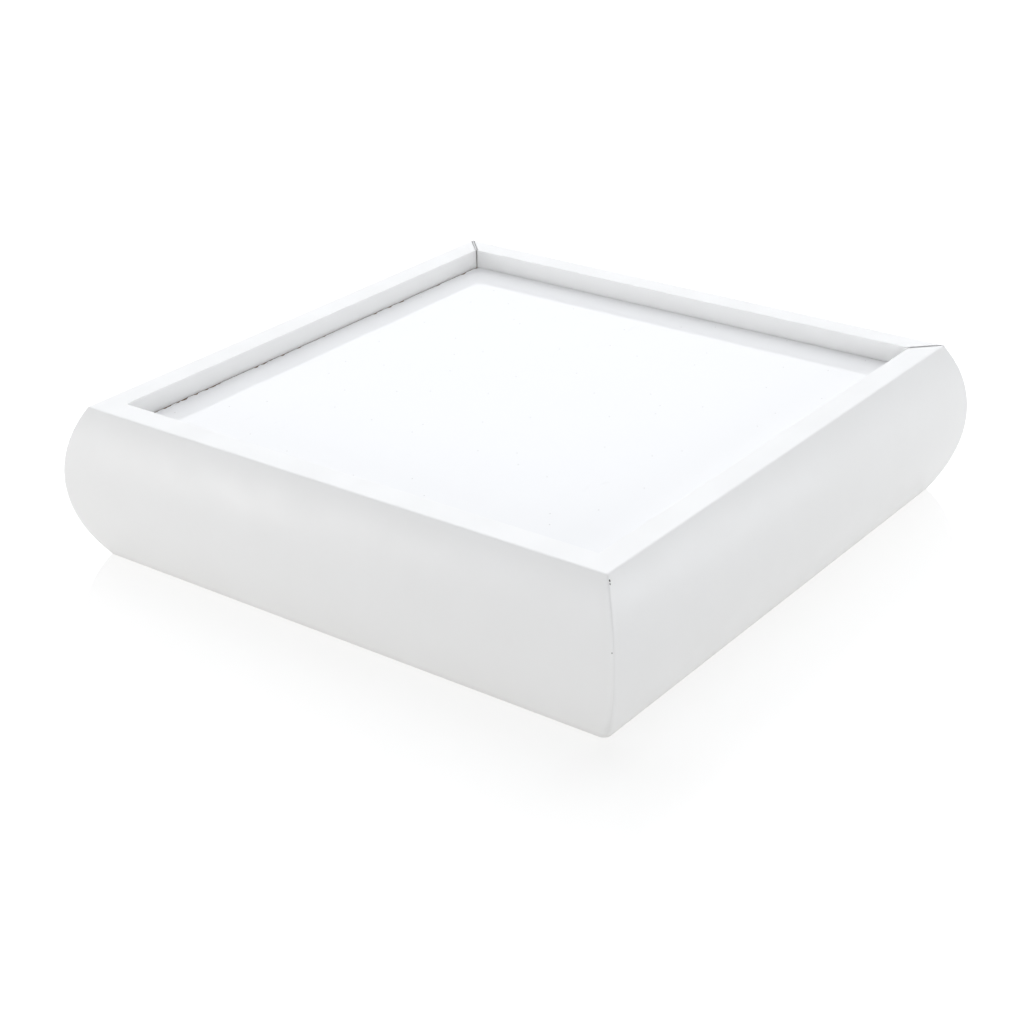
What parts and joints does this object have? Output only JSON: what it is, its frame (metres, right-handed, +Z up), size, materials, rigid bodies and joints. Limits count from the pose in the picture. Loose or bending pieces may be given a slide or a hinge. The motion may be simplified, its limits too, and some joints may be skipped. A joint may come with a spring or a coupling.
{
  "type": "display plinth",
  "caption": "Low square display plinth: mitred white rails with rounded outer faces round a recessed gloss white insert panel that lifts out.",
  "frame": {"origin": "on the floor, at the centre of the plinth's footprint", "axes": "+Z up, -Y towards the front rail, +X towards the right rail"},
  "size_m": [0.4, 0.4, 0.098],
  "materials": {
    "rail_paint": "satin white paint on fibreboard moulding",
    "gloss_sheet": "high-gloss white sheet",
    "fibreboard": "raw brown fibreboard",
    "backing": "matt white backing sheet",
    "pine": "planed pine, unfinished",
    "beech": "pressed beech",
    "zinc": "zinc-plated steel"
  },
  "bodies": {
    "frame": {"front_rail": "rail_paint", "right_rail": "rail_paint", "back_rail": "rail_paint", "left_rail": "rail_paint", "front_ledger": "pine", "right_ledger": "pine", "back_ledger": "pine", "left_ledger": "pine", "ledger_screws": "zinc", "front_right_block": "pine", "back_right_block": "pine", "back_left_block": "pine", "front_left_block": "pine", "block_screws": "zinc", "mitre_biscuits": "beech", "centre_post": "pine", "base_board": "fibreboard", "base_screws": "zinc"},
    "insert": {"gloss_face": "gloss_sheet", "insert_board": "fibreboard", "backing_sheet": "backing"}
  },
  "joints": [
    {"name": "insert_lift", "type": "slide", "parent": "frame", "child": "insert", "axis": [0, 0, 1], "range_m": [0, 0.06]}
  ]
}
